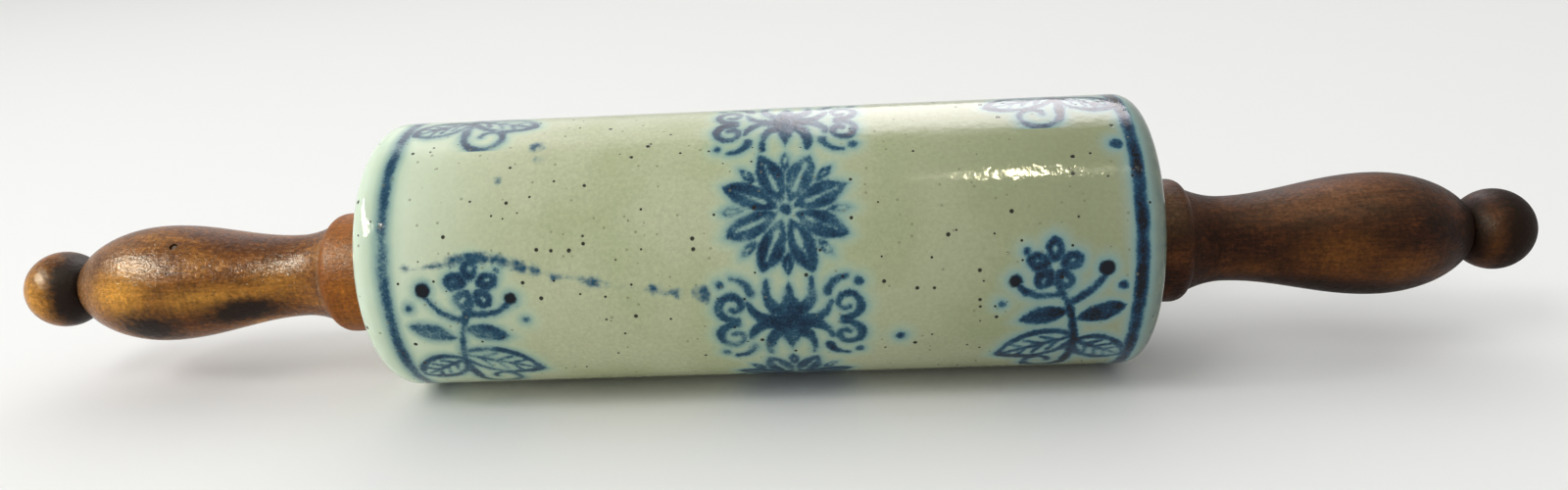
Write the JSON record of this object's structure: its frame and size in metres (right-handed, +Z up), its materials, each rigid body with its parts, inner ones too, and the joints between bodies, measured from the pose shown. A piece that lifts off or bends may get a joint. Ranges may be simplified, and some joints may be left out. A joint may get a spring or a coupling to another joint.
{
  "type": "rolling pin",
  "caption": "Ceramic rolling pin: a glazed stoneware barrel that turns loosely on a wooden rod held between turned wooden handles with ball ends.",
  "frame": {"origin": "on the table, below the middle of the pin's length", "axes": "+X along the pin towards the right handle, +Z up, -Y towards the viewer"},
  "size_m": [0.4245, 0.0738, 0.0738],
  "materials": {
    "glazed_stoneware": "clear glossy glaze over pale stoneware, with cobalt decoration and iron specks",
    "plain_wood": "bare turned hardwood",
    "golden_wood": "worn varnish, golden brown with dark stains",
    "brown_wood": "worn varnish, dark reddish brown",
    "iron_wire": "dull darkened iron"
  },
  "bodies": {
    "handles": {"axle_rod": "plain_wood", "left_handle": "golden_wood", "right_handle": "brown_wood", "left_handle_brad": "iron_wire", "right_handle_brad": "iron_wire"},
    "barrel": {"stoneware_barrel": "glazed_stoneware"}
  },
  "joints": [
    {"name": "barrel_spin", "type": "hinge", "parent": "handles", "child": "barrel", "pos_m": [0.0028, 0, 0.03692], "axis": [1, 0, 0], "continuous": true}
  ]
}
